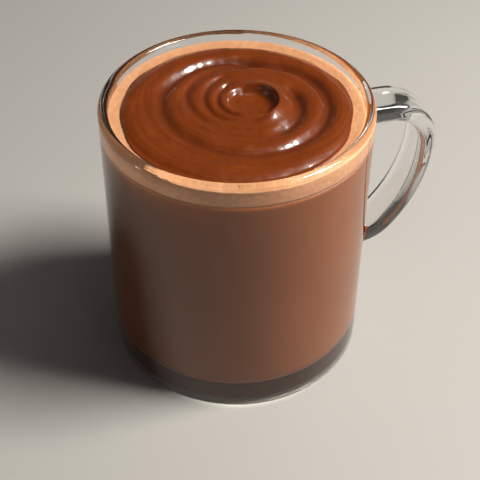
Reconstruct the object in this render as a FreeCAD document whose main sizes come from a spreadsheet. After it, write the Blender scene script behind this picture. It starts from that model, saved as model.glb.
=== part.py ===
"""Hot chocolate in a clear glass mug.

The mug is one piece of pressed glass: a nearly straight wall with a rounded rim, a thick floor,
a shallow hollow under the foot and a strap handle. The drink fills it from the floor to a level
below the rim. A layer of milk foam floats on the drink, and a thick chocolate cream lies in the
foam, stirred into a spiral with a raised lip round a small flat centre.

Frame: the origin is on the mug's axis at the plane it stands on, +Z is up and the handle points
along +X. Lengths are millimetres, angles are degrees.
"""
import FreeCAD, Part
import math
import os

import Mesh
import Sketcher
from FreeCAD import Vector

SIZES = (
    # the mug
    ("mugHeight", 88.2, "foot to the top of the rim"),
    ("rimDiameter", 80.0, "outside, at the rim"),
    ("footNarrowing", 0.6, "how much less the foot measures across than the rim"),
    ("wallThickness", 3.0, "glass wall; the rim is its full round"),
    ("floorThickness", 9.0, "glass under the drink"),
    ("cavityCorner", 3.5, "radius between the inner wall and the floor"),
    ("footRadius", 2.6, "radius round the outer edge of the foot"),
    ("hollowRadius", 31.0, "radius of the shallow hollow under the foot"),
    ("hollowDepth", 1.2, "depth of that hollow at the axis"),
    # the handle, by the middle line of its strap
    ("handleDrop", 9.0, "rim down to the upper root"),
    ("handleSpan", 47.7, "upper root down to the lower root"),
    ("handleReach", 18.7, "outer wall at the rim out to the farthest point"),
    ("upperBend", 12.3, "radius of the bend above"),
    ("lowerBend", 12.0, "radius of the bend below"),
    ("tailLength", 4.5, "straight run into the lower root"),
    ("tailSlope", 20.0, "fall of that run towards the wall, degrees"),
    ("strapWidth", 13.5, "across the handle"),
    ("strapThickness", 5.8, "through the handle"),
    ("strapEdge", 2.4, "radius along the strap's edges"),
    ("rootFillet", 2.2, "radius where the strap meets the wall"),
    # what fills the mug
    ("foamDrop", 2.8, "rim down to the foam's line on the glass"),
    ("foamThickness", 5.4, "foam layer at the glass"),
    ("foamDip", 0.8, "fall of the foam from the glass to the cream"),
    ("foamRing", 3.4, "foam left between the glass and the cream"),
    ("creamSeat", 3.6, "foam's line down to the underside of the cream"),
    ("creamEdge", 0.4, "cream above the foam beside it"),
    ("creamCrown", 1.1, "rise of the cream from its edge to its middle"),
    ("creamShoulder", 3.4, "width over which the cream rounds down to its edge"),
    ("discRadius", 5.6, "small flat centre of the spiral"),
    ("discDepth", 1.6, "that centre below the crown"),
    ("discSlope", 3.0, "width over which the cream falls to that centre"),
    ("lipHeight", 1.8, "lip beside the flat centre, above the crown"),
    ("lipNear", 5.0, "crest of the lip from the spiral's centre, where it starts"),
    ("lipFar", 12.8, "crest of the lip from the spiral's centre, where it ends"),
    ("spiralRight", 4.2, "spiral's centre from the mug's axis, along +X"),
    ("spiralBack", 2.7, "spiral's centre from the mug's axis, along +Y"),
)

# Folds of the cream, each a groove that winds outwards: the angles round the spiral's centre where
# it starts and ends (degrees, clockwise from +X), its distance from that centre at both ends (as
# shares of the cream's radius), its depth and its half width (millimetres).
FOLDS = (
    (-25.0, 95.0, 0.37, 0.56, 1.7, 2.0),
    (135.0, 220.0, 0.45, 0.57, 0.8, 1.4),
    (185.0, 290.0, 0.57, 0.54, 1.6, 1.9),
    (260.0, 450.0, 0.53, 0.76, 1.7, 1.9),
    (420.0, 600.0, 0.76, 0.75, 1.3, 1.9),
    (105.0, 265.0, 0.17, 0.17, 0.5, 0.8),
    (110.0, 265.0, 0.24, 0.30, 0.9, 0.9),
    (115.0, 270.0, 0.33, 0.44, 0.9, 1.1),
    (90.0, 210.0, 0.88, 0.90, 0.4, 1.3),
)
FOLD_FADE = 30.0

# The lip beside the flat centre: its start, its end and how slowly it fades at both (degrees), its
# half widths towards the centre and away from it (millimetres), and the share of its winding
# outwards that the flat centre follows.
LIP_START = 262.0
LIP_END = 462.0
LIP_FADE = 45.0
LIP_INSIDE = 0.8
LIP_OUTSIDE = 3.4
DISC_FOLLOWS = 0.45

RINGS = 32
SECTORS = 96

doc = FreeCAD.newDocument("hot_chocolate")
sheet = doc.addObject("Spreadsheet::Sheet", "Sizes")
for row, (alias, number, meaning) in enumerate(SIZES, start=1):
    sheet.set(f"A{row}", alias)
    sheet.set(f"B{row}", str(number))
    sheet.set(f"C{row}", meaning)
    sheet.setAlias(f"B{row}", alias)
doc.recompute()

# Places that several pieces share, as formulas over the sheet.
FOAM_TOP = "(Sizes.mugHeight - Sizes.foamDrop)"
DRINK_TOP = "(Sizes.mugHeight - Sizes.foamDrop - Sizes.foamThickness)"
CREAM_BOTTOM = "(Sizes.mugHeight - Sizes.foamDrop - Sizes.creamSeat)"
FOAM_AT_CREAM = "(Sizes.mugHeight - Sizes.foamDrop - Sizes.foamDip)"
RIM_CENTRE = "(Sizes.mugHeight - Sizes.wallThickness / 2)"
UPPER_ROOT = "(Sizes.mugHeight - Sizes.handleDrop)"
LOWER_ROOT = "(Sizes.mugHeight - Sizes.handleDrop - Sizes.handleSpan)"
HANDLE_REACH = "(Sizes.rimDiameter / 2 + Sizes.handleReach)"
FOOT_RADIUS = "(Sizes.rimDiameter / 2 - Sizes.footNarrowing / 2)"


def outer_radius(level):
    """Formula for the outer wall's radius at a level: it leans out evenly from foot to rim."""
    return f"({FOOT_RADIUS} + Sizes.footNarrowing / 2 * {level} / Sizes.mugHeight)"


def inner_radius(level):
    """Formula for the inner wall's radius at a level."""
    return f"({outer_radius(level)} - Sizes.wallThickness)"


def mid_wall(level):
    """Formula for the radius of the middle of the wall at a level, where the strap's ends lie."""
    return f"({outer_radius(level)} - Sizes.wallThickness / 2)"


CREAM_RADIUS = f"({inner_radius(FOAM_TOP)} - Sizes.foamRing)"


def value_of(formula):
    """What a formula over the sheet gives now, as a plain number."""
    result = sheet.evalExpression(formula)
    return float(getattr(result, "Value", result))


def new_body(name):
    """An empty body, labelled with the name of its node."""
    body = doc.addObject("PartDesign::Body", name)
    body.Label = name
    return body


def new_sketch(body, name, plane="XZ_Plane"):
    """A sketch on one of the body's own origin planes."""
    sketch = body.newObject("Sketcher::SketchObject", name)
    support = next(item for item in body.Origin.OriginFeatures if item.Role == plane)
    sketch.AttachmentSupport = [(support, "")]
    sketch.MapMode = "FlatFace"
    return sketch


def bind(sketch, kind, where, formula):
    """A dimension of a sketch, tied to a formula over the sheet."""
    index = sketch.addConstraint(Sketcher.Constraint(kind, *where, value_of(formula)))
    name = f"{kind}{index}"
    sketch.renameConstraint(index, name)
    sketch.setExpression(f"Constraints.{name}", formula)


def place_point(sketch, geometry, end, radius, level):
    """Fix a point of a half section by its radius and level, or put it on an axis where one is 0."""
    if radius == "0":
        sketch.addConstraint(Sketcher.Constraint("PointOnObject", geometry, end, -2))
    elif radius:
        bind(sketch, "DistanceX", (-1, 1, geometry, end), radius)
    if level == "0":
        sketch.addConstraint(Sketcher.Constraint("PointOnObject", geometry, end, -1))
    elif level:
        bind(sketch, "DistanceY", (-1, 1, geometry, end), level)


def half_section(sketch, corners, arcs=None):
    """A closed outline through (radius, level) corners. For a corner whose next side is an arc,
    arcs gives that arc's centre, and which of the centre's two places is to be fixed."""
    arcs = arcs or {}
    points = [Vector(value_of(radius), value_of(level), 0) for radius, level in corners]
    for index, (start, end) in enumerate(zip(points, points[1:] + points[:1])):
        if index in arcs:
            centre = Vector(value_of(arcs[index][0]), value_of(arcs[index][1]), 0)
            circle = Part.Circle(centre, Vector(0, 0, 1), (start - centre).Length)
            angles = [math.atan2(p.y - centre.y, p.x - centre.x) for p in (start, end)]
            sketch.addGeometry(Part.ArcOfCircle(circle, *angles), False)
        else:
            sketch.addGeometry(Part.LineSegment(start, end), False)
    for index, (radius, level) in enumerate(corners):
        following = (index + 1) % len(corners)
        sketch.addConstraint(Sketcher.Constraint("Coincident", index, 2, following, 1))
        place_point(sketch, index, 1, radius, level)
    for index, (radius, level, fixed) in arcs.items():
        if fixed == "radius":
            place_point(sketch, index, 3, radius, "")
        else:
            place_point(sketch, index, 3, "", level)


def revolve(body, sketch, name, kind="PartDesign::Revolution"):
    """Turn a half section once round the mug's axis."""
    feature = body.newObject(kind, name)
    feature.Profile = sketch
    feature.ReferenceAxis = (sketch, ["V_Axis"])
    feature.Angle = 360.0
    sketch.Visibility = False
    return feature


def fillet(body, name, belongs, radius):
    """Round the edges of the body's last feature that a test picks out by their points."""
    base = body.Tip
    picked = []
    for number, edge in enumerate(base.Shape.Edges, start=1):
        if not edge.Degenerated and all(belongs(point) for point in edge.discretize(7)):
            picked.append(f"Edge{number}")
    feature = body.newObject("PartDesign::Fillet", name)
    feature.Base = (base, picked)
    feature.setExpression("Radius", radius)
    return feature


def near(value, target, slack=0.02):
    """Whether two lengths are the same to within a little."""
    return abs(value - target) < slack


# ---- mug: the glass body -------------------------------------------------------------------

mug = new_body("mug")
wall = new_sketch(mug, "wall_section", "YZ_Plane")
half_section(
    wall,
    (
        ("0", "0"),
        (FOOT_RADIUS, "0"),
        (outer_radius(RIM_CENTRE), RIM_CENTRE),
        (inner_radius(RIM_CENTRE), RIM_CENTRE),
        (inner_radius("Sizes.floorThickness"), "Sizes.floorThickness"),
        ("0", "Sizes.floorThickness"),
    ),
    {2: (f"({outer_radius(RIM_CENTRE)} - Sizes.wallThickness / 2)", RIM_CENTRE, "level")},
)
revolve(mug, wall, "glass")
doc.recompute()

floor_level = value_of("Sizes.floorThickness")
floor_edge = value_of(inner_radius("Sizes.floorThickness"))
foot_edge = value_of(FOOT_RADIUS)
fillet(mug, "cavity_corner",
       lambda p: near(p.z, floor_level) and near(math.hypot(p.x, p.y), floor_edge),
       "Sizes.cavityCorner")
doc.recompute()
fillet(mug, "foot_edge",
       lambda p: near(p.z, 0.0) and near(math.hypot(p.x, p.y), foot_edge),
       "Sizes.footRadius")
doc.recompute()

# The hollow under the foot is a shallow dome: an arc from its edge to the axis, centred on the axis.
dome_centre = ("(Sizes.hollowDepth / 2"
               " - Sizes.hollowRadius * Sizes.hollowRadius / (2 * Sizes.hollowDepth))")
hollow = new_sketch(mug, "hollow_section")
half_section(
    hollow,
    (("0", "0"), ("Sizes.hollowRadius", "0"), ("0", "Sizes.hollowDepth")),
    {1: ("0", dome_centre, "radius")},
)
solid_before = mug.Tip.Shape.Volume
revolve(mug, hollow, "hollow", "PartDesign::Groove")
doc.recompute()
if mug.Tip.Shape.Volume >= solid_before:
    raise RuntimeError("the hollow under the foot cut nothing")

# ---- mug: the strap handle -----------------------------------------------------------------

# The middle line leaves the wall level, turns down round the upper bend, runs down a long gentle
# arc, turns in round the lower bend and enters the wall along a short sloping run. The long arc's
# radius and sweep follow from the others, because all the joins are smooth.
upper_x = value_of(mid_wall(UPPER_ROOT))
lower_x = value_of(mid_wall(LOWER_ROOT))
reach_x = value_of(HANDLE_REACH)
top_z = value_of(UPPER_ROOT)
bottom_z = value_of(LOWER_ROOT)
upper = value_of("Sizes.upperBend")
lower = value_of("Sizes.lowerBend")
slope = math.radians(value_of("Sizes.tailSlope"))
tail_run = value_of("Sizes.tailLength") * math.cos(slope)
tail_fall = value_of("Sizes.tailLength") * math.sin(slope)
turn_in = math.pi / 2 - slope
inward = reach_x - lower_x - tail_run - lower * (1 - math.cos(turn_in))
downward = top_z - upper - bottom_z - tail_fall - lower * math.sin(turn_in)
sweep = 2 * math.atan2(inward, downward)
middle = downward / math.sin(sweep) + lower

upper_centre = Vector(reach_x - upper, top_z - upper, 0)
middle_centre = Vector(reach_x - middle, top_z - upper, 0)
lower_centre = middle_centre + Vector(math.cos(sweep), -math.sin(sweep), 0) * (middle - lower)
tail_start = lower_centre + Vector(math.cos(turn_in), -math.sin(turn_in), 0) * lower


def arc_about(centre, radius, first, last):
    """An arc of a circle in a sketch, anticlockwise between two angles in radians."""
    return Part.ArcOfCircle(Part.Circle(centre, Vector(0, 0, 1), radius), first, last)


spine = new_sketch(mug, "handle_line")
spine.addGeometry([
    Part.LineSegment(Vector(upper_x, top_z, 0), Vector(reach_x - upper, top_z, 0)),
    arc_about(upper_centre, upper, 0.0, math.pi / 2),
    arc_about(middle_centre, middle, -sweep, 0.0),
    arc_about(lower_centre, lower, -turn_in, -sweep),
    Part.LineSegment(tail_start, Vector(lower_x, bottom_z, 0)),
], False)
spine.addConstraint([
    Sketcher.Constraint("Horizontal", 0),
    Sketcher.Constraint("Tangent", 0, 2, 1, 2),
    Sketcher.Constraint("Tangent", 1, 1, 2, 2),
    Sketcher.Constraint("Tangent", 2, 1, 3, 2),
    Sketcher.Constraint("Tangent", 3, 1, 4, 1),
    Sketcher.Constraint("Horizontal", 1, 3, 1, 1),
])
place_point(spine, 0, 1, mid_wall(UPPER_ROOT), UPPER_ROOT)
place_point(spine, 4, 2, mid_wall(LOWER_ROOT), LOWER_ROOT)
place_point(spine, 1, 1, HANDLE_REACH, "")
bind(spine, "Radius", (1,), "Sizes.upperBend")
bind(spine, "Radius", (3,), "Sizes.lowerBend")
bind(spine, "DistanceX", (4, 2, 4, 1), "Sizes.tailLength * cos(Sizes.tailSlope * 1 deg)")
bind(spine, "DistanceY", (4, 2, 4, 1), "Sizes.tailLength * sin(Sizes.tailSlope * 1 deg)")

section = new_sketch(mug, "handle_section", "YZ_Plane")
section.setExpression("AttachmentOffset.Base.z", mid_wall(UPPER_ROOT))
half_width = "(Sizes.strapWidth / 2 - Sizes.strapEdge)"
half_thick = "(Sizes.strapThickness / 2 - Sizes.strapEdge)"
edge = value_of("Sizes.strapEdge")
corner_signs = ((1, 1), (-1, 1), (-1, -1), (1, -1))
centres = [Vector(a * value_of(half_width), top_z + b * value_of(half_thick), 0)
           for a, b in corner_signs]
for quarter, centre in enumerate(centres):
    section.addGeometry(
        arc_about(centre, edge, quarter * math.pi / 2, (quarter + 1) * math.pi / 2), False)
for quarter, centre in enumerate(centres):
    out = Vector(0, edge, 0)
    for _ in range(quarter):
        out = Vector(-out.y, out.x, 0)
    section.addGeometry(Part.LineSegment(centre + out, centres[(quarter + 1) % 4] + out), False)
for quarter, (a, b) in enumerate(corner_signs):
    section.addConstraint(Sketcher.Constraint("Tangent", quarter, 2, quarter + 4, 1))
    section.addConstraint(Sketcher.Constraint("Tangent", quarter + 4, 2, (quarter + 1) % 4, 1))
    place_point(section, quarter, 3, f"{a} * {half_width}", f"{UPPER_ROOT} + {b} * {half_thick}")
    bind(section, "Radius", (quarter,), "Sizes.strapEdge")

handle = mug.newObject("PartDesign::AdditivePipe", "handle")
handle.Profile = section
handle.Spine = (spine, [f"Edge{number}" for number in range(1, 6)])
doc.recompute()


def at_a_root(point):
    """Whether a point lies on the outer wall where the strap meets it."""
    beside = abs(point.y) < value_of("Sizes.strapWidth") and point.x > 0
    on_wall = near(math.hypot(point.x, point.y), value_of(outer_radius(str(point.z))))
    return beside and on_wall and floor_level < point.z < value_of(RIM_CENTRE) - 0.1


fillet(mug, "handle_roots", at_a_root, "Sizes.rootFillet")
doc.recompute()

# ---- drink: fills the cavity from the floor up ----------------------------------------------

drink = new_body("drink")
drink_half = new_sketch(drink, "drink_section")
half_section(
    drink_half,
    (
        ("0", "Sizes.floorThickness"),
        (inner_radius("Sizes.floorThickness"), "Sizes.floorThickness"),
        (inner_radius(DRINK_TOP), DRINK_TOP),
        ("0", DRINK_TOP),
    ),
)
revolve(drink, drink_half, "chocolate")
doc.recompute()
fillet(drink, "drink_corner",
       lambda p: near(p.z, floor_level) and near(math.hypot(p.x, p.y), floor_edge),
       "Sizes.cavityCorner")

# ---- foam: a layer that runs right through, with a seat for the cream -----------------------

foam = new_body("foam")
foam_half = new_sketch(foam, "foam_section")
half_section(
    foam_half,
    (
        ("0", DRINK_TOP),
        (inner_radius(DRINK_TOP), DRINK_TOP),
        (inner_radius(FOAM_TOP), FOAM_TOP),
        (CREAM_RADIUS, FOAM_AT_CREAM),
        (CREAM_RADIUS, CREAM_BOTTOM),
        ("0", CREAM_BOTTOM),
    ),
)
revolve(foam, foam_half, "milk_foam")

# ---- swirl: the chocolate cream -------------------------------------------------------------


def ease(value):
    """0 below 0, 1 above 1, and a smooth rise between."""
    value = min(1.0, max(0.0, value))
    return value * value * (3 - 2 * value)


def window(angle, start, end, fade):
    """1 between two angles, easing to 0 at both ends."""
    return ease((angle - start) / fade) * ease((end - angle) / fade)


def fold_depth(distance, angle):
    """Depth of all the folds at a distance and an angle from the spiral's centre."""
    radius = value_of(CREAM_RADIUS)
    depth = 0.0
    for start, end, near_share, far_share, deepest, half_width_mm in FOLDS:
        along = min(1.0, max(0.0, (angle - start) / (end - start)))
        middle_line = radius * (near_share + (far_share - near_share) * along)
        groove = math.exp(-((distance - middle_line) / half_width_mm) ** 2)
        depth += deepest * window(angle, start, end, FOLD_FADE) * groove
    return depth


def lip_line(angle):
    """How far out the lip's crest lies: it moves outwards evenly as it winds round."""
    along = (angle - LIP_START) / (LIP_END - LIP_START)
    return value_of("Sizes.lipNear") + value_of("Sizes.lipFar - Sizes.lipNear") * along


def lip_rise(distance, angle):
    """Rise of the lip, which is steep towards the centre and gentle on its outer side."""
    out = distance - lip_line(angle)
    width = LIP_OUTSIDE if out > 0 else LIP_INSIDE
    strength = window(angle, LIP_START, LIP_END, LIP_FADE)
    return value_of("Sizes.lipHeight") * strength * math.exp(-(out / width) ** 2)


def disc_widening(angle):
    """How much the flat centre widens towards the lip where there is one."""
    strength = window(angle, LIP_START, LIP_END, LIP_FADE)
    return DISC_FOLLOWS * strength * (lip_line(angle) - value_of("Sizes.discRadius"))


def cream_level(x, y):
    """Height of the cream's surface: a low crown, less the folds and the flat centre, plus the
    lip. The spiral winds round more than once, so the angle is tried a turn either way."""
    from_edge = max(0.0, value_of(CREAM_RADIUS) - math.hypot(x, y))
    crown = value_of("Sizes.creamCrown") * math.sqrt(ease(from_edge / value_of("Sizes.creamShoulder")))
    dx = x - value_of("Sizes.spiralRight")
    dy = y - value_of("Sizes.spiralBack")
    distance = math.hypot(dx, dy)
    clockwise = math.degrees(math.atan2(-dy, dx)) % 360.0
    level = value_of(FOAM_AT_CREAM) + value_of("Sizes.creamEdge") + crown
    disc_edge = value_of("Sizes.discRadius")
    for angle in (clockwise - 360.0, clockwise, clockwise + 360.0):
        level += lip_rise(distance, angle) - fold_depth(distance, angle)
        disc_edge += disc_widening(angle)
    slope = value_of("Sizes.discSlope")
    return level - value_of("Sizes.discDepth") * ease((disc_edge - distance) / slope + 0.5)


def rim_distance(angle):
    """From the spiral's centre to the cream's edge in one direction, in radians."""
    right = value_of("Sizes.spiralRight")
    back = value_of("Sizes.spiralBack")
    along = right * math.cos(angle) + back * math.sin(angle)
    off_centre = right * right + back * back
    return math.sqrt(along * along + value_of(CREAM_RADIUS) ** 2 - off_centre) - along


def cream_rings():
    """The cream's top as rings of points round the spiral's centre, from the middle to the edge."""
    right = value_of("Sizes.spiralRight")
    back = value_of("Sizes.spiralBack")
    rings = [[Vector(right, back, cream_level(right, back))]]
    for ring in range(1, RINGS + 1):
        points = []
        for sector in range(SECTORS):
            angle = 2 * math.pi * sector / SECTORS
            distance = rim_distance(angle) * ring / RINGS
            x = right + distance * math.cos(angle)
            y = back + distance * math.sin(angle)
            points.append(Vector(x, y, cream_level(x, y)))
        rings.append(points)
    return rings


def cream_triangles():
    """The closed surface of the cream: its top, a flat underside and an upright side."""
    rings = cream_rings()
    floor = value_of(CREAM_BOTTOM)
    under = [Vector(point.x, point.y, floor) for point in rings[-1]]
    middle_under = Vector(rings[0][0].x, rings[0][0].y, floor)
    triangles = []
    for sector in range(SECTORS):
        after = (sector + 1) % SECTORS
        triangles.append((rings[0][0], rings[1][sector], rings[1][after]))
        for inner, outer in zip(rings[1:], rings[2:]):
            triangles.append((inner[sector], outer[sector], outer[after]))
            triangles.append((inner[sector], outer[after], inner[after]))
        triangles.append((rings[-1][sector], under[sector], under[after]))
        triangles.append((rings[-1][sector], under[after], rings[-1][after]))
        triangles.append((middle_under, under[after], under[sector]))
    return triangles


skin = Mesh.Mesh([tuple(tuple(point) for point in triangle) for triangle in cream_triangles()])
shell = Part.Shape()
shell.makeShapeFromMesh(skin.Topology, 0.001)
swirl = doc.addObject("Part::Feature", "swirl")
swirl.Shape = Part.makeSolid(shell)
swirl.Label = "swirl"
doc.recompute()

# ---- check and write ------------------------------------------------------------------------

broken = [item.Name for item in doc.Objects if {"Invalid", "Error"} & set(item.State)]
if broken:
    raise RuntimeError(f"these objects failed: {broken}")
os.makedirs("parts", exist_ok=True)
for piece in (mug, drink, foam, swirl):
    shape = piece.Shape
    if shape.isNull() or not shape.isValid() or len(shape.Solids) != 1:
        raise RuntimeError(f"{piece.Label} isn't one valid solid")
    shape.exportStep(os.path.join("parts", f"{piece.Label}.step"))
    box = shape.BoundBox
    print(f"{piece.Label}: {shape.Volume / 1000:.2f} ml, faces {len(shape.Faces)},"
          f" x {box.XMin:.2f} to {box.XMax:.2f}, y {box.YMin:.2f} to {box.YMax:.2f},"
          f" z {box.ZMin:.2f} to {box.ZMax:.2f}")
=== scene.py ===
# %% [markdown]
# # A mug of hot chocolate
#
# The object is a clear pressed glass mug with a strap handle. It is filled with a milky chocolate
# drink, a band of pale foam floats on it, and a thick glossy chocolate cream lies in the foam,
# stirred into a spiral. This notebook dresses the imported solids: it loads them as a fixed frame,
# smooths a copy of the mug, works out fine surfaces for the drink, the foam and the cream with
# numpy, gives each piece its finish, and sets up a pale floor, soft lights and the camera.

# %% Load the frame
import math

import bmesh
import bpy
import numpy as np
from mathutils import Euler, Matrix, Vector


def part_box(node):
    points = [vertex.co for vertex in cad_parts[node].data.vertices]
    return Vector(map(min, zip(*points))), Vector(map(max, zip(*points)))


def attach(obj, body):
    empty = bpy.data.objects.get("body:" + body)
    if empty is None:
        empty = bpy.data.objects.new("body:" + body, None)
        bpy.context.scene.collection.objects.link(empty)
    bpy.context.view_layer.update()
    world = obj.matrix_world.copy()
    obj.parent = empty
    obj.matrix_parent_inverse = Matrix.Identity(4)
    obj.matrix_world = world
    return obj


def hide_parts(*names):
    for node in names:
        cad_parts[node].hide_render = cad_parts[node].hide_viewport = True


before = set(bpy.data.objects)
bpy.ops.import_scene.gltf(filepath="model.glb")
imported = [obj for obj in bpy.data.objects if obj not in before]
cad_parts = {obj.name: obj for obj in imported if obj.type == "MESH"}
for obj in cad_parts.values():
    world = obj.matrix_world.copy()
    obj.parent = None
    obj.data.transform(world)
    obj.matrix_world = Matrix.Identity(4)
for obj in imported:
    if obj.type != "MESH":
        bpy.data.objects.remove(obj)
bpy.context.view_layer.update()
MM = 0.001
print("nodes", sorted(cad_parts))

# %% [markdown]
# ## Sizes
#
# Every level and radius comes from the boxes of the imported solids, so the looks can't drift away
# from them. Only what a box can't tell, such as the thickness of the glass, is a number here.

# %% Read the sizes
mug_low, mug_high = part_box("mug")
drink_low, drink_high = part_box("drink")
foam_low, foam_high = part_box("foam")
swirl_low, swirl_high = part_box("swirl")

RIM_RADIUS = mug_high.y
WALL = 3.0 * MM
NARROWING = 0.3 * MM  # how much smaller the foot's radius is than the rim's
INTO_GLASS = 0.25 * MM
CORNER = 3.5 * MM  # rounding between the inner wall and the floor
FOAM_DIP = 0.8 * MM  # how far the foam sinks from the glass to the cream
CREAM_RADIUS = swirl_high.y
CREAM_START = foam_high.z - FOAM_DIP
print(f"rim radius {RIM_RADIUS / MM:.2f} mm, height {mug_high.z / MM:.2f} mm")
print(f"drink to {drink_high.z / MM:.2f} mm, foam to {foam_high.z / MM:.2f} mm")


def outer_radius(level):
    """Radius of the mug's outside: it leans out evenly from the foot to the rim."""
    return RIM_RADIUS - NARROWING * (1 - level / mug_high.z)


def fill_radius(level):
    """Radius that the contents fill: the inner wall, and a hair's breadth into the glass."""
    return outer_radius(level) - WALL + INTO_GLASS


# %% [markdown]
# ## Meshes from arrays
#
# A surface worked out on a grid needs only its points and four-cornered faces between
# neighbouring rows and columns. numpy makes both as whole arrays, and `foreach_set` copies them
# into Blender in one go, which is far quicker than a loop over vertices.

# %% Mesh helpers
def make_piece(name, points, quads, triangles=()):
    """A smooth-shaded mesh object from an array of points and arrays of corner numbers."""
    quads = np.asarray(quads, np.int32).reshape(-1, 4)
    triangles = np.asarray(triangles, np.int32).reshape(-1, 3)
    corners = np.concatenate([quads.ravel(), triangles.ravel()])
    quad_starts = np.arange(len(quads)) * 4
    triangle_starts = quads.size + np.arange(len(triangles)) * 3
    mesh = bpy.data.meshes.new(name)
    mesh.vertices.add(len(points))
    mesh.vertices.foreach_set("co", np.asarray(points, np.float32).ravel())
    mesh.loops.add(len(corners))
    mesh.loops.foreach_set("vertex_index", corners)
    mesh.polygons.add(len(quads) + len(triangles))
    mesh.polygons.foreach_set("loop_start", np.concatenate([quad_starts, triangle_starts]))
    mesh.update(calc_edges=True)
    mesh.validate()
    mesh.shade_smooth()
    piece = bpy.data.objects.new(name, mesh)
    bpy.context.scene.collection.objects.link(piece)
    print(f"{name}: {len(points)} points, {2 * len(quads) + len(triangles)} triangles")
    return piece


def closed_rings(rings, first_pole, last_pole):
    """Points and faces of a closed skin: rings of points (rings, sectors, 3) between two poles.

    Row i and row i+1 are joined by four-cornered faces, and each pole by a fan of triangles.
    """
    count, sectors, _ = rings.shape
    points = np.concatenate([rings.reshape(-1, 3), [first_pole], [last_pole]])
    row, column = np.meshgrid(np.arange(count - 1), np.arange(sectors), indexing="ij")
    after = (column + 1) % sectors
    quads = np.stack(
        [row * sectors + column, row * sectors + after,
         (row + 1) * sectors + after, (row + 1) * sectors + column], -1)
    here = np.arange(sectors)
    there = (here + 1) % sectors
    last = (count - 1) * sectors
    fans = np.concatenate([
        np.stack([there, here, np.full(sectors, count * sectors)], -1),
        np.stack([last + here, last + there, np.full(sectors, count * sectors + 1)], -1)])
    return points, quads, fans


def turned(profile, sectors):
    """Turn a profile of (radius, level) points once round the axis; its ends lie on the axis.

    x = radius cos a, y = radius sin a, z = level, for a from 0 to a full turn.
    """
    angle = np.linspace(0, 2 * np.pi, sectors, endpoint=False)
    radius, level = profile[1:-1, 0][:, None], profile[1:-1, 1][:, None]
    rings = np.stack(
        [radius * np.cos(angle), radius * np.sin(angle), level + 0 * angle], -1)
    return closed_rings(rings, (0, 0, profile[0, 1]), (0, 0, profile[-1, 1]))


def arc(centre, radius, first, last, steps):
    """Points on an arc: centre + radius (cos a, sin a), for a between two angles in degrees."""
    angle = np.radians(np.linspace(first, last, steps))
    return np.stack([centre[0] + radius * np.cos(angle), centre[1] + radius * np.sin(angle)], -1)


def line(start, end, steps):
    """Evenly spaced points from start up to, but without, end."""
    share = np.linspace(0, 1, steps, endpoint=False)[:, None]
    return np.asarray(start) * (1 - share) + np.asarray(end) * share


def ease(value):
    """0 below 0, 1 above 1, and a smooth rise 3v^2 - 2v^3 between."""
    value = np.clip(value, 0, 1)
    return value * value * (3 - 2 * value)


# %% [markdown]
# ## Shader maths as Python
#
# Finishes mix many small sums. A node for each sum is tedious to wire by hand, so a small class
# wraps a number socket and turns `+`, `-` and `*` into Math nodes. A second class holds one
# material and adds any other node from its type, its settings and its inputs.

# %% Shader helpers
class Number:
    """A number socket that can stand in a Python expression."""

    def __init__(self, finish, socket):
        self.finish = finish
        self.socket = socket

    def maths(self, operation, other):
        """One Math node on this value and another."""
        node = self.finish.add("ShaderNodeMath", {"operation": operation}, {0: self, 1: other})
        return Number(self.finish, node.outputs[0])

    def __add__(self, other):
        return self.maths("ADD", other)

    def __sub__(self, other):
        return self.maths("SUBTRACT", other)

    def __rsub__(self, other):
        return (self * -1) + other

    def __mul__(self, other):
        return self.maths("MULTIPLY", other)

    __radd__ = __add__
    __rmul__ = __mul__

    def ramp(self, low, high):
        """0 at low, 1 at high, smooth between."""
        node = self.finish.add(
            "ShaderNodeMapRange", {"interpolation_type": "SMOOTHSTEP"},
            {"Value": self, "From Min": low, "From Max": high})
        return Number(self.finish, node.outputs[0])


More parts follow.
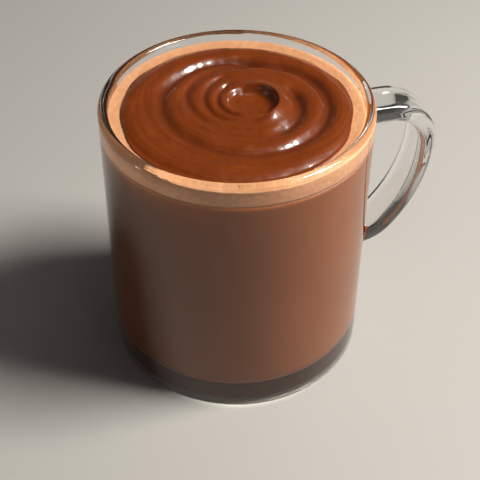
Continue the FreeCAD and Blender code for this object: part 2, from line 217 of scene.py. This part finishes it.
class Finish:
    """One material, its Principled shader and its nodes."""

    def __init__(self, name, **constants):
        self.material = bpy.data.materials.new(name)
        self.material.use_nodes = True
        self.tree = self.material.node_tree
        self.shader = self.tree.nodes["Principled BSDF"]
        for socket, value in constants.items():
            self.shader.inputs[socket.replace("_", " ")].default_value = value

    def add(self, kind, settings=None, inputs=None):
        """Add a node; settings are set first, then each input is given a value or a link."""
        node = self.tree.nodes.new(kind)
        for key, value in (settings or {}).items():
            setattr(node, key, value)
        for key, value in (inputs or {}).items():
            self.feed(node.inputs[key], value)
        return node

    def feed(self, socket, value):
        """Give a socket a plain value, a Number or another socket."""
        if isinstance(value, Number):
            value = value.socket
        if isinstance(value, bpy.types.NodeSocket):
            self.tree.links.new(value, socket)
        else:
            socket.default_value = value

    def place(self, centre=(0, 0, 0), scale=(1, 1, 1)):
        """Object coordinates measured from a centre and stretched."""
        where = self.add("ShaderNodeTexCoord").outputs["Object"]
        moved = self.add("ShaderNodeVectorMath", {"operation": "SUBTRACT"}, {0: where, 1: centre})
        node = self.add("ShaderNodeVectorMath", {"operation": "MULTIPLY"},
                        {0: moved.outputs[0], 1: scale})
        return node.outputs[0]

    def split(self, vector):
        """The three parts of a vector as numbers."""
        node = self.add("ShaderNodeSeparateXYZ", {}, {0: vector})
        return [Number(self, socket) for socket in node.outputs]

    def noise(self, vector, scale, detail=2.0, roughness=0.5):
        """Soft noise from 0 to 1."""
        node = self.add("ShaderNodeTexNoise", {}, {
            "Vector": vector, "Scale": scale, "Detail": detail, "Roughness": roughness})
        return Number(self, node.outputs[0])

    def cells(self, vector, scale):
        """Distance to the nearest of many scattered points, for bubbles."""
        node = self.add("ShaderNodeTexVoronoi", {}, {"Vector": vector, "Scale": scale})
        return Number(self, node.outputs["Distance"])

    def blend(self, share, first, second):
        """A colour between two colours."""
        node = self.add("ShaderNodeMix", {"data_type": "RGBA"},
                        {0: share, 6: first, 7: second})
        return node.outputs[2]

    def bump(self, height, strength, distance):
        """Feed a height to the shader's normal; a height of 1 stands distance metres up."""
        node = self.add("ShaderNodeBump", {}, {
            "Strength": strength, "Distance": distance, "Height": height})
        self.feed(self.shader.inputs["Normal"], node.outputs[0])

    def paint(self, *pieces):
        """Give the finish to pieces."""
        for piece in pieces:
            piece.data.materials.clear()
            piece.data.materials.append(self.material)


def colour(red, green, blue):
    """A colour given in display values from 0 to 255, as the linear values that shaders use."""
    share = np.array([red, green, blue]) / 255
    linear = np.where(share <= 0.04045, share / 12.92, ((share + 0.055) / 1.055) ** 2.4)
    return (*[float(part) for part in linear], 1.0)


# %% [markdown]
# ## The glass mug
#
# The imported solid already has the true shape: the round rim, the thick floor, the handle and the
# fillets at its roots. It is made of loose triangles, though, and glass bends light by its
# normals, so a copy is merged into one skin. The wall is a plain cone, so its normals are known
# exactly. Giving them to the copy makes the coarse triangles refract like a true round wall.

# %% Merge a copy of the mug
ON_WALL = 0.02 * MM  # points nearer the wall's cone than this belong to it
FACES_OUT = 0.99  # leaves out the fillets of the handle's roots, which turn away from the wall
SAME_POINT = 0.001 * MM
TINY = 1e-9  # keeps a point on the axis from dividing by zero


def exact_normals(points, normals):
    """Normals of the merged mug, with the exact ones on the straight wall.

    On the outer wall the normal is (cos a, sin a, -lean) made one long, on the inner wall the
    opposite.
    """
    radius = np.hypot(points[:, 0], points[:, 1])
    wall_radius = outer_radius(points[:, 2])
    flat = np.stack([points[:, 0], points[:, 1], 0 * radius], -1)
    flat /= np.maximum(radius, TINY)[:, None]
    flat[:, 2] = -NARROWING / mug_high.z
    flat /= np.linalg.norm(flat, axis=1)[:, None]
    straight = (points[:, 2] > drink_low.z + CORNER) & (points[:, 2] < mug_high.z - WALL / 2)
    facing = (normals * flat).sum(1)
    outside = straight & (abs(radius - wall_radius) < ON_WALL) & (facing > FACES_OUT)
    inside = straight & (abs(radius - wall_radius + WALL) < ON_WALL)
    return np.where(outside[:, None], flat, np.where(inside[:, None], -flat, normals))


def merged_copy(node, name):
    """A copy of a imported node's mesh as one smooth skin."""
    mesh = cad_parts[node].data.copy()
    mesh.name = name
    piece = bpy.data.objects.new(name, mesh)
    bpy.context.scene.collection.objects.link(piece)
    skin = bmesh.new()
    skin.from_mesh(mesh)
    bmesh.ops.remove_doubles(skin, verts=skin.verts, dist=SAME_POINT)
    skin.to_mesh(mesh)
    skin.free()
    if mesh.has_custom_normals:
        mesh.attributes.remove(mesh.attributes["custom_normal"])
    mesh.shade_smooth()
    mesh.update()
    return piece


glass = merged_copy("mug", "glass_mug")
count = len(glass.data.vertices)
points = np.empty(count * 3, np.float32)
normals = np.empty(count * 3, np.float32)
glass.data.vertices.foreach_get("co", points)
glass.data.vertices.foreach_get("normal", normals)
normals = exact_normals(points.reshape(-1, 3), normals.reshape(-1, 3))
glass.data.normals_split_custom_set_from_vertices(normals.tolist())
print(f"glass: {count} points, {len(glass.data.polygons)} triangles")

# %% [markdown]
# ## The drink
#
# A liquid that touches glass shows no air gap: the wall looks full to its outer face. The drink is
# a turned skin that reaches a hair's breadth into the glass, with the same rounded corner at the
# floor, and its flat top is covered by the foam.

# %% Turn the drink
floor_level = drink_low.z - INTO_GLASS
corner_centre = (fill_radius(floor_level + CORNER) - CORNER, floor_level + CORNER)
drink_profile = np.concatenate([
    line((0, floor_level), (corner_centre[0], floor_level), 24),
    arc(corner_centre, CORNER, -90, 0, 16),
    line((fill_radius(floor_level + CORNER), floor_level + CORNER),
         (fill_radius(drink_high.z), drink_high.z), 40)[1:],
    line((fill_radius(drink_high.z), drink_high.z), (0, drink_high.z), 8),
    [(0, drink_high.z)]])
drink = make_piece("chocolate_drink", *turned(drink_profile, 192))

# %% [markdown]
# ## The cream's spiral
#
# The cream was stirred once round and the spoon lifted out. That leaves grooves that wind
# outwards, a small flat centre, and a lip that stands up beside the centre, steep on the side that
# faces it. Its surface is a height over the flat, worked out on rings round the spiral's centre.
# Each groove is a row of numbers: the angles clockwise where it starts and ends, in degrees, how
# far out it lies at both ends as a share of the cream's radius, and its depth and half width in
# millimetres. An angle above 360 goes on into the next turn.

# %% The cream's folds
SPIRAL = np.array([4.2, 2.7]) * MM
EDGE, CROWN, SHOULDER = 0.4 * MM, 1.0 * MM, 3.4 * MM
DISC_RADIUS, DISC_DEPTH, DISC_SLOPE = 5.6 * MM, 1.6 * MM, 3.0 * MM
LIP_START, LIP_END, LIP_FADE = 262.0, 462.0, 45.0
LIP_NEAR, LIP_FAR, LIP_HEIGHT = 5.0 * MM, 11.6 * MM, 1.9 * MM
LIP_INSIDE, LIP_OUTSIDE = 0.7 * MM, 2.4 * MM
DISC_FOLLOWS = 0.45  # how much of the lip's outward path the flat centre takes part in
FADE = 30.0
DEEPEST = 1.7 * MM
DRAG_SPACING, DRAG_DEPTH, DRAG_REACH = 1.7 * MM, 0.010 * MM, 8 * MM
SLOW_WAVES, FINE_WAVES = 0.12 * MM, 0.025 * MM

FOLDS = (
    (-25, 95, 0.37, 0.56, 1.7, 2.0),
    (135, 220, 0.45, 0.57, 0.8, 1.4),
    (185, 290, 0.57, 0.54, 0.8, 1.6),
    (260, 450, 0.56, 0.76, 1.6, 1.9),
    (420, 590, 0.76, 0.76, 1.2, 2.0),
    (555, 665, 0.76, 0.60, 1.7, 1.9),
    (105, 265, 0.17, 0.17, 0.5, 0.8),
    (110, 265, 0.24, 0.30, 0.9, 0.9),
    (115, 270, 0.33, 0.44, 0.9, 1.1),
    (90, 210, 0.88, 0.90, 0.4, 1.3),
)


def window(angle, start, end, fade):
    """1 between two angles, easing to 0 at both ends."""
    return ease((angle - start) / fade) * ease((end - angle) / fade)


def fold_depth(distance, clockwise):
    """Depth of all the folds: each is a groove exp(-(offset / width)^2) along its own line."""
    depth = np.zeros_like(distance)
    for start, end, near, far, deep, width in FOLDS:
        for turn in (-360, 0, 360):
            angle = clockwise + turn
            along = np.clip((angle - start) / (end - start), 0, 1)
            middle = CREAM_RADIUS * (near + (far - near) * along)
            groove = np.exp(-((distance - middle) / (width * MM)) ** 2)
            depth += deep * MM * window(angle, start, end, FADE) * groove
    return depth


def lip_line(angle):
    """How far out the lip's crest lies: it moves outwards evenly as it winds round."""
    return LIP_NEAR + (LIP_FAR - LIP_NEAR) * (angle - LIP_START) / (LIP_END - LIP_START)


def lip_rise(distance, clockwise):
    """The lip beside the flat centre: steep on its inner side, gentle on its outer side."""
    rise = np.zeros_like(distance)
    for turn in (0, 360):
        angle = clockwise + turn
        out = distance - lip_line(angle)
        width = np.where(out > 0, LIP_OUTSIDE, LIP_INSIDE)
        here = window(angle, LIP_START, LIP_END, LIP_FADE)
        rise += LIP_HEIGHT * here * np.exp(-(out / width) ** 2)
    return rise


def disc_edge(clockwise):
    """Radius of the flat centre: it widens towards the lip where there is one."""
    edge = np.full_like(clockwise, DISC_RADIUS)
    for turn in (0, 360):
        angle = clockwise + turn
        here = window(angle, LIP_START, LIP_END, LIP_FADE)
        edge += DISC_FOLLOWS * here * (lip_line(angle) - DISC_RADIUS)
    return edge


def wander(x, y, seed, waves, longest):
    """A smooth random height between about -1 and 1: a sum of sines with random directions."""
    draw = np.random.default_rng(seed)
    total = np.zeros_like(x)
    for _ in range(waves):
        heading, phase = draw.uniform(0, 2 * np.pi, 2)
        length = longest * draw.uniform(0.35, 1.0)
        along = x * np.cos(heading) + y * np.sin(heading)
        total += np.sin(2 * np.pi * along / length + phase)
    return total / math.sqrt(waves)


def cream_height(x, y):
    """Level of the cream over a point: crown, less the folds and the flat centre, plus the lip.

    Fine drag lines from the spoon, sin(2 pi (distance / spacing + turn)), and two sums of random
    waves are added last.
    """
    from_edge = CREAM_RADIUS - np.hypot(x, y)
    crown = CROWN * np.sqrt(np.clip(ease(from_edge / SHOULDER), 0, 1))
    dx, dy = x - SPIRAL[0], y - SPIRAL[1]
    distance = np.hypot(dx, dy)
    clockwise = np.degrees(np.arctan2(-dy, dx)) % 360
    disc = DISC_DEPTH * ease((disc_edge(clockwise) - distance) / DISC_SLOPE + 0.5)
    level = CREAM_START + EDGE + crown - disc
    level = level - fold_depth(distance, clockwise) + lip_rise(distance, clockwise)
    drag = np.sin(2 * np.pi * (distance / DRAG_SPACING + clockwise / 360))
    strength = 0.5 + 0.5 * wander(x, y, 3, 9, 18 * MM)
    level += DRAG_DEPTH * drag * strength * ease(distance / DRAG_REACH)
    level += SLOW_WAVES * wander(x, y, 11, 12, 22 * MM) * ease(from_edge / SHOULDER)
    level += FINE_WAVES * wander(x, y, 17, 18, 5 * MM)
    return level


# %% Build the cream
RINGS, SECTORS = 170, 420
FULL_SIDE = -110  # the side, in degrees, where the cream spreads further over the foam
FULLNESS = 0.055
EDGE_WAVES = ((0.010, 3, 1), (0.006, 7, 2), (0.004, 13, 0))  # size, waves a turn, start
angle = np.linspace(0, 2 * np.pi, SECTORS, endpoint=False)
along = SPIRAL[0] * np.cos(angle) + SPIRAL[1] * np.sin(angle)
reach = np.sqrt(along ** 2 + CREAM_RADIUS ** 2 - SPIRAL @ SPIRAL) - along
share = (np.arange(1, RINGS + 1) / RINGS)[:, None]
uneven = sum(size * np.sin(waves * angle + start) for size, waves, start in EDGE_WAVES)
uneven += FULLNESS * np.clip(np.cos(angle - np.radians(FULL_SIDE)), 0, 1) ** 2
reach = reach * (1 + share ** 6 * uneven)
x = SPIRAL[0] + share * reach * np.cos(angle)
y = SPIRAL[1] + share * reach * np.sin(angle)
z = cream_height(x, y)
under = np.stack([x[-1], y[-1], 0 * x[-1] + swirl_low.z], -1)
side = np.stack([x[-1], y[-1], (z[-1] + swirl_low.z) / 2], -1)
top = np.stack([x, y, z], -1)[::-1]
rings = np.concatenate([[under], [side], top])
middle = cream_height(np.array([SPIRAL[0]]), np.array([SPIRAL[1]]))[0]
cream = make_piece("chocolate_cream", *closed_rings(
    rings, (SPIRAL[0], SPIRAL[1], swirl_low.z), (SPIRAL[0], SPIRAL[1], middle)))
print(f"cream from {z.min() / MM:.2f} to {z.max() / MM:.2f} mm")
# Painted shade: the folds' depth, as a share of the deepest, is kept on the cream so that its
# grooves can be darkened where shade falls.
dx, dy = top[..., 0] - SPIRAL[0], top[..., 1] - SPIRAL[1]
folded = fold_depth(np.hypot(dx, dy), np.degrees(np.arctan2(-dy, dx)) % 360) / DEEPEST
hollow = np.concatenate([np.zeros(2 * SECTORS), folded.ravel(), [0, 0]])
cream.data.attributes.new("hollow", "FLOAT", "POINT").data.foreach_set("value", hollow)

# %% [markdown]
# ## The foam
#
# Milk foam clings to the glass, so its surface climbs at the wall and sinks where the heavy cream
# presses on it. It is a turned profile again: flat under the cream, up the seat's side, then a
# gentle hollow curve out to the wall. Fine ripples keep the ring from looking machined.

# %% Turn the foam
UNDER_CREAM = 1.5 * MM  # how far the foam reaches in under the cream's edge
RIPPLE = 0.05 * MM
JUST_BELOW = 0.01 * MM
CURVE = 2.2  # above 1 the ring starts flat at the cream and steepens at the glass
seat_radius = CREAM_RADIUS - UNDER_CREAM
wall_foam = fill_radius(foam_high.z)
steps = np.linspace(0, 1, 26)
ring_curve = np.stack([
    seat_radius + (wall_foam - seat_radius) * steps,
    CREAM_START + (foam_high.z - CREAM_START) * steps ** CURVE], -1)
foam_profile = np.concatenate([
    line((0, foam_low.z), (fill_radius(foam_low.z), foam_low.z), 6),
    line((fill_radius(foam_low.z), foam_low.z), (wall_foam, foam_high.z), 10),
    ring_curve[::-1],
    [(seat_radius, swirl_low.z), (0, swirl_low.z)]])
foam_points, foam_quads, foam_fans = turned(foam_profile, 256)
on_ring = (foam_points[:, 2] > CREAM_START - JUST_BELOW)
foam_points[:, 2] += on_ring * RIPPLE * (wander(
    foam_points[:, 0], foam_points[:, 1], 5, 14, 6 * MM) - 1.0)
foam = make_piece("milk_foam", foam_points, foam_quads, foam_fans)

# %% [markdown]
# ## The glass finish
#
# Clear glass is a Principled shader with full transmission. Cycles treats glass as a wall for
# shadow rays, which would leave the drink in the dark, so shadow rays are let through by a
# Transparent shader. A very faint waviness makes the highlights wander as on pressed glass.

# %% Glass
clear = Finish("clear_glass", Base_Color=(0.985, 0.993, 0.99, 1), Roughness=0.0, IOR=1.55,
               Transmission_Weight=1.0)
waves = clear.noise(clear.place(), 55.0, 1.0)
clear.bump(waves, 0.04, 0.002)
let_light_in = clear.add("ShaderNodeLightPath").outputs["Is Shadow Ray"]
open_shader = clear.add("ShaderNodeBsdfTransparent", {}, {"Color": (0.97, 0.98, 0.975, 1)})
either = clear.add("ShaderNodeMixShader", {}, {
    0: let_light_in, 1: clear.shader.outputs[0], 2: open_shader.outputs[0]})
clear.feed(clear.tree.nodes["Material Output"].inputs["Surface"], either.outputs[0])
clear.paint(glass)

# %% [markdown]
# ## The drink and the foam
#
# Hot chocolate is milk with fine cocoa in it: a soft brown, a little cloudy. The foam is the same
# milk whipped to tiny bubbles, so it is paler, and it stains darker where it meets the drink.

# %% Drink
milky = Finish("hot_chocolate", Roughness=0.42, IOR=1.35)
where = milky.place()
cloud = milky.noise(where, 45.0, 3.0, 0.6)
brown = milky.blend(cloud.ramp(0.3, 0.7), colour(128, 66, 12), colour(134, 71, 16))
milky.feed(milky.shader.inputs["Base Color"], brown)
milky.paint(drink)

# %% Foam
froth = Finish("milk_foam", Roughness=0.55, IOR=1.35)
where = froth.place()
_, _, height = froth.split(where)
fine = froth.cells(where, 1500.0)
coarse = froth.cells(where, 620.0)
patch = froth.noise(where, 120.0, 3.0)
tan = froth.blend(patch.ramp(0.3, 0.7), colour(200, 144, 103), colour(209, 155, 114))
tan = froth.blend(coarse.ramp(0.25, 0.6) * 0.3, tan, colour(184, 124, 84))
stain = 1 - height.ramp(foam_low.z - 0.1 * MM, foam_low.z + 0.5 * MM)
tan = froth.blend(stain * 0.4, tan, colour(150, 96, 62))
froth.feed(froth.shader.inputs["Base Color"], tan)
froth.bump(coarse * 0.7 + fine * 0.3, 0.25, 0.0004)
froth.paint(foam)

# %% [markdown]
# ## The cream
#
# The cream is dark chocolate whipped with a little fat: a deep brown body under a glossy skin.
# Fine streaks follow the stirring, so the noise is stretched round the spiral's centre: it changes
# fast with the distance from the centre and slowly along the stroke. The grooves are made darker
# by their depth, which is painted shade.

# %% Cream
glossy = Finish("chocolate_cream", Roughness=0.35, IOR=1.46, Coat_Weight=1.0, Coat_Roughness=0.05)
centre = (float(SPIRAL[0]), float(SPIRAL[1]), 0.0)
flat = glossy.place(centre, (1, 1, 0))
length = glossy.add("ShaderNodeVectorMath", {"operation": "LENGTH"}, {0: flat})
distance = Number(glossy, length.outputs["Value"])
east, north, _ = glossy.split(flat)
stroke = glossy.add("ShaderNodeCombineXYZ", {}, {0: east * 90, 1: north * 90, 2: distance * 1400})
streak = glossy.noise(stroke.outputs[0], 1.0, 3.0, 0.55)
body = glossy.noise(glossy.place(), 110.0, 2.0)
dark = glossy.blend(streak.ramp(0.3, 0.7), colour(110, 45, 2), colour(124, 53, 4))
dark = glossy.blend(body.ramp(0.35, 0.7) * 0.4, dark, colour(108, 43, 2))
# Painted shade: the grooves are darkened towards a deep brown by their depth, standing in for the
# shade that falls in them.
hollows = glossy.add("ShaderNodeAttribute", {"attribute_name": "hollow"})
deep = Number(glossy, hollows.outputs["Fac"])
dark = glossy.blend(deep.ramp(0.15, 1.0) * 0.6, dark, colour(78, 27, 2))
glossy.feed(glossy.shader.inputs["Base Color"], dark)
glossy.feed(glossy.shader.inputs["Roughness"], streak * 0.12 + 0.28)
pits = glossy.noise(glossy.place(), 480.0, 2.0, 0.5)
glossy.bump(streak * 0.35 + pits * 0.25 + body, 0.10, 0.0010)
glossy.paint(cream)

# %% [markdown]
# ## Tie the pieces to the frame
#
# Every piece rides on the one body and stands for its imported solid.

# %% Ride and replace
for piece, node, finish_slot in (
        (glass, "mug", "glass"), (drink, "drink", "drink"),
        (foam, "foam", "foam"), (cream, "swirl", "cream")):
    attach(piece, "root")
    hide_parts(node)
    print(f"{piece.name} stands for {node}")

# %% [markdown]
# ## Floor, light and camera
#
# A plain pale floor and soft lights show the shape. The main light stands to the right and above,
# so that the cream's slopes that face right catch it; a weak one on the left keeps the dark side
# readable. The camera looks down on the mug, with the handle on its right.

# %% Floor
FLOOR_SIZE = 4.0
corner = FLOOR_SIZE / 2
floor = make_piece("floor", np.array(
    [(-corner, -corner, 0), (corner, -corner, 0), (corner, corner, 0), (-corner, corner, 0)]),
    [(0, 1, 2, 3)])
pale = Finish("pale_floor", Roughness=0.6)
tint = pale.noise(pale.place(), 6.0, 2.0)
pale.feed(pale.shader.inputs["Base Color"],
          pale.blend(tint, colour(178, 176, 172), colour(184, 182, 178)))
pale.paint(floor)

# %% Lights
AZIMUTH, ELEVATION, ROLL = -15.0, 40.44, 0.37
TARGET = Vector((0, 0, mug_high.z / 2))


def camera_frame(azimuth):
    """Directions to the right of the camera, away from it along the floor, and up."""
    turn = math.radians(azimuth)
    right = Vector((math.cos(turn), math.sin(turn), 0))
    away = Vector((-math.sin(turn), math.cos(turn), 0))
    return right, away, Vector((0, 0, 1))


def soft_light(name, direction, distance, size, power, tint=(1, 1, 1)):
    """A square lamp that looks at the mug from a direction in the camera's own frame."""
    right, away, up = camera_frame(AZIMUTH)
    data = bpy.data.lights.new(name, "AREA")
    data.shape = "RECTANGLE"
    data.size, data.size_y = size
    data.energy = power
    data.color = tint
    lamp = bpy.data.objects.new(name, data)
    offset = (right * direction[0] + away * direction[1] + up * direction[2]).normalized()
    lamp.location = TARGET + offset * distance
    lamp.rotation_euler = offset.to_track_quat("Z", "Y").to_euler()
    bpy.context.scene.collection.objects.link(lamp)


soft_light("key", (0.60, -0.03, 0.80), 0.75, (0.26, 0.26), 9.0, (1.0, 0.96, 0.90))
soft_light("fill", (-0.9, -0.35, 0.35), 1.0, (0.5, 0.5), 0.25, (0.95, 0.97, 1.0))

ROOM_COLOUR, ROOM_STRENGTH = (1.0, 0.96, 0.92, 1), 0.05
world = bpy.data.worlds.new("studio")
world.use_nodes = True
background = world.node_tree.nodes["Background"]
background.inputs["Color"].default_value = ROOM_COLOUR
background.inputs["Strength"].default_value = ROOM_STRENGTH
bpy.context.scene.world = world
bpy.context.scene.view_settings.view_transform = "Standard"

# %% Camera
CAMERA_DISTANCE = 0.34386
FOCAL_LENGTH, SENSOR_WIDTH = 82.6, 36.0  # millimetres
SHIFT_X, SHIFT_Y = 0.0075, -0.047
camera_data = bpy.data.cameras.new("camera")
camera_data.sensor_width = SENSOR_WIDTH
camera_data.lens = FOCAL_LENGTH
camera_data.shift_x, camera_data.shift_y = SHIFT_X, SHIFT_Y
camera = bpy.data.objects.new("camera", camera_data)
right, away, up = camera_frame(AZIMUTH)
lift = math.radians(ELEVATION)
back = -away * math.cos(lift) + up * math.sin(lift)
camera.location = TARGET + back * CAMERA_DISTANCE
facing = back.to_track_quat("Z", "Y").to_matrix()
roll = Euler((0, 0, math.radians(ROLL))).to_matrix()
camera.rotation_euler = (facing @ roll).to_euler()
bpy.context.scene.collection.objects.link(camera)
bpy.context.scene.camera = camera
